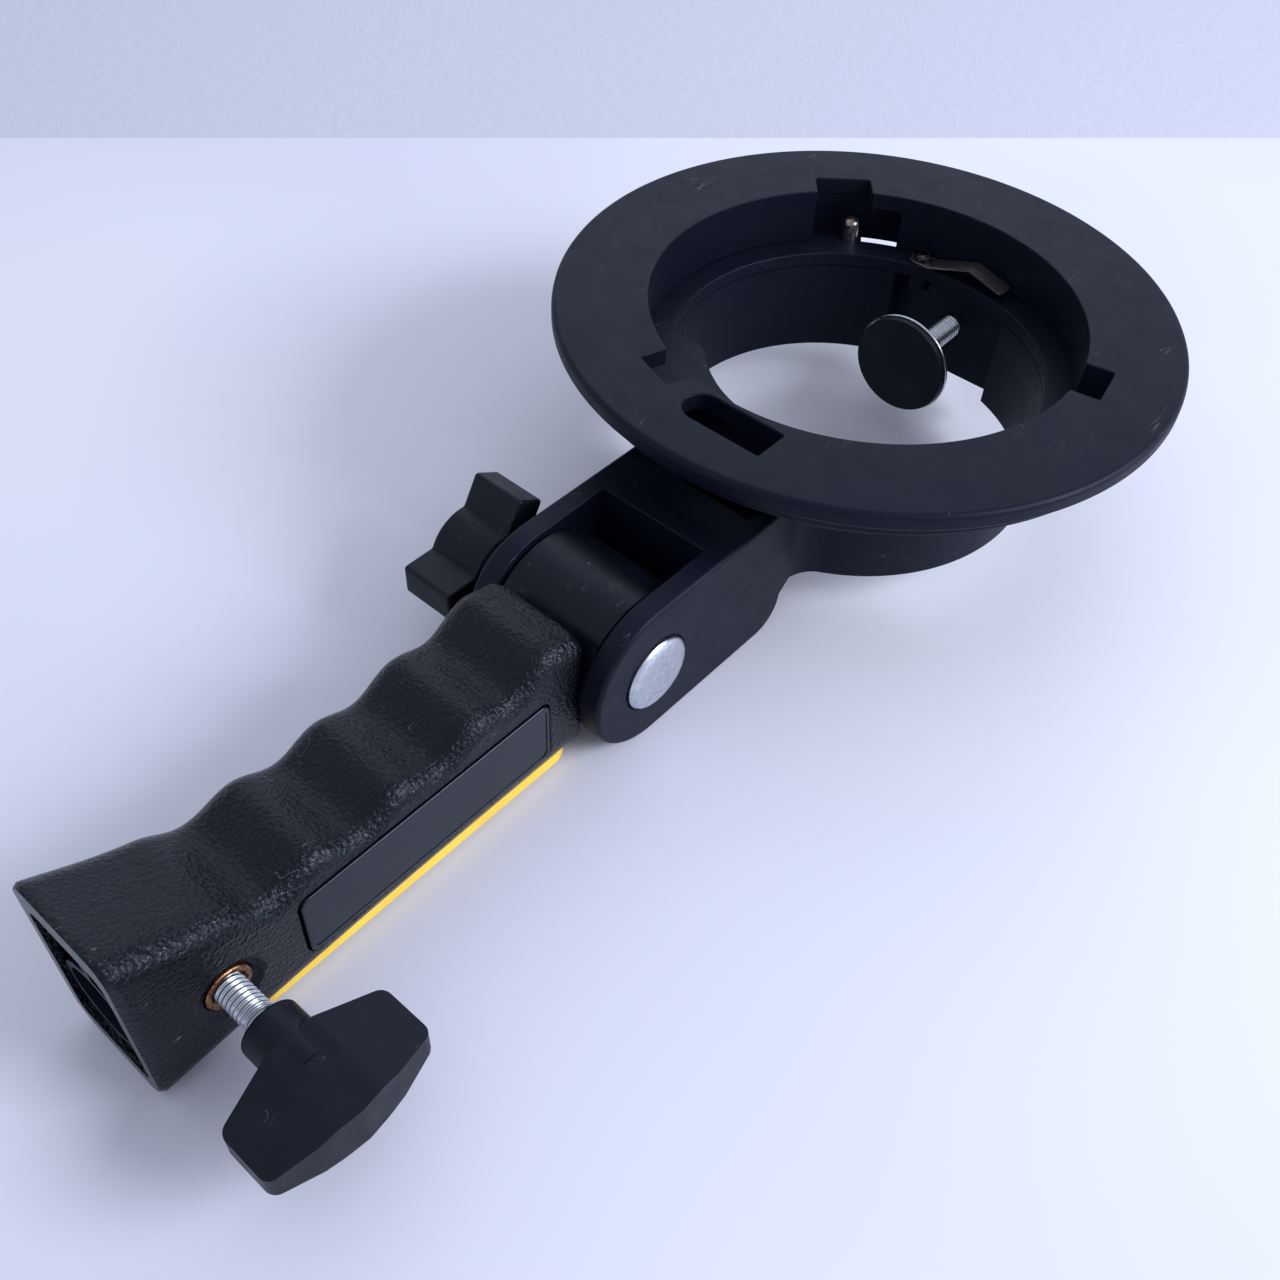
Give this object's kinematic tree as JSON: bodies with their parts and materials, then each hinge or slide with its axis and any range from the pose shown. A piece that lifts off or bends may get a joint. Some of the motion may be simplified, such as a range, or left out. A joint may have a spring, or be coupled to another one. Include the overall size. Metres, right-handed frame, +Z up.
{
  "type": "flash mount bracket",
  "caption": "Hand-held flash bracket: ring with three-notch bayonet front, pad clamp and umbrella slot, tilting on a finger-grooved grip with a locking stand socket.",
  "frame": {"origin": "on the table, under the middle of the part's length and width, with the part lying on its back", "axes": "+Z up and out of the ring's front, +Y from the grip towards the ring, +X to the side with the label plate and the stand lock knob"},
  "size_m": [0.144, 0.2966, 0.053],
  "materials": {
    "black_plastic": "satin black moulded plastic, fine grain",
    "grained_plastic": "black plastic with a glossy leather grain",
    "knob_plastic": "satin black moulded plastic",
    "gloss_black": "smooth glossy black",
    "yellow_plastic": "satin yellow moulded plastic",
    "zinc": "bright zinc-plated steel",
    "steel": "plain steel, slightly dull",
    "brass": "turned brass, slightly tarnished",
    "rubber": "matt black rubber"
  },
  "bodies": {
    "bracket": {"front_flange": "black_plastic", "backing_ring": "black_plastic", "bracket_body": "black_plastic", "ring_screw_1": "steel", "ring_screw_2": "steel", "ring_screw_3": "steel", "ring_screw_4": "steel", "flange_screw_1": "steel", "flange_screw_2": "steel", "flange_screw_3": "steel", "flange_screw_4": "steel", "saddle_pad": "rubber", "latch_spring": "steel", "latch_cover": "black_plastic", "latch_cover_screw_1": "steel", "latch_cover_screw_2": "steel", "leaf_spring_screw": "zinc", "clamp_nut": "brass", "tilt_bolt": "zinc"},
    "latch": {"latch_pin": "zinc", "latch_tab": "black_plastic"},
    "leaf": {"leaf_spring": "steel"},
    "clamp_pad": {"clamp_pad_plate": "zinc", "clamp_pad_face": "rubber"},
    "clamp_screw": {"clamp_screw": "zinc", "clamp_knob": "knob_plastic"},
    "handle": {"tilt_knuckle": "black_plastic", "tilt_washer_right": "rubber", "tilt_washer_left": "rubber", "grip_shell": "grained_plastic", "label_plate": "gloss_black", "back_strip": "yellow_plastic", "grip_screw_1": "steel", "grip_screw_2": "steel", "stand_socket": "black_plastic", "lock_insert": "brass"},
    "tilt_knob_travel": {"tilt_knob_washer": "zinc"},
    "tilt_knob": {"tilt_knob": "knob_plastic", "tilt_knob_nut": "brass"},
    "lock_tip": {"lock_tip": "black_plastic"},
    "lock_screw": {"lock_screw": "zinc", "lock_knob": "knob_plastic"}
  },
  "joints": [
    {"name": "tilt", "type": "hinge", "parent": "bracket", "child": "handle", "pos_m": [0, -0.0299, 0.0177], "axis": [1, 0, 0], "range_deg": [-80, 90]},
    {"name": "tilt_knob_slide", "type": "slide", "parent": "bracket", "child": "tilt_knob_travel", "axis": [-1, 0, 0], "range_m": [0, 0.0025]},
    {"name": "tilt_knob_turn", "type": "hinge", "parent": "tilt_knob_travel", "child": "tilt_knob", "pos_m": [-0.03, -0.0299, 0.0177], "axis": [-1, 0, 0], "range_deg": [0, 720]},
    {"name": "clamp_slide", "type": "slide", "parent": "bracket", "child": "clamp_pad", "axis": [0, 1, 0], "range_m": [-0.008, 0.0175]},
    {"name": "clamp_turn", "type": "hinge", "parent": "clamp_pad", "child": "clamp_screw", "pos_m": [0, 0.1132, 0.0244], "axis": [0, 1, 0], "range_deg": [-2880, 6300]},
    {"name": "lock_slide", "type": "slide", "parent": "handle", "child": "lock_tip", "axis": [1, 0, 0], "range_m": [-0.006, 0.001]},
    {"name": "lock_turn", "type": "hinge", "parent": "lock_tip", "child": "lock_screw", "pos_m": [0.02, -0.1314, 0.0177], "axis": [1, 0, 0], "range_deg": [-2160, 360]},
    {"name": "latch_press", "type": "slide", "parent": "bracket", "child": "latch", "axis": [0, 0, -1], "range_m": [0, 0.0058], "stiffness_N_per_m": 250, "springref_m": -0.006, "deforming": ["latch_spring"]},
    {"name": "leaf_flex", "type": "hinge", "parent": "bracket", "child": "leaf", "pos_m": [-0.0114, 0.1086, 0.0393], "axis": [0, 1, 0], "range_deg": [0, 3], "stiffness_Nm_per_rad": 0.3, "springref_deg": -2.86}
  ],
  "couplings": [
    {"joint": "tilt_knob_turn", "follows": "tilt_knob_slide", "rad_per_m": 5026.5},
    {"joint": "clamp_turn", "follows": "clamp_slide", "rad_per_m": 6283.2},
    {"joint": "lock_turn", "follows": "lock_slide", "rad_per_m": 6283.2}
  ]
}
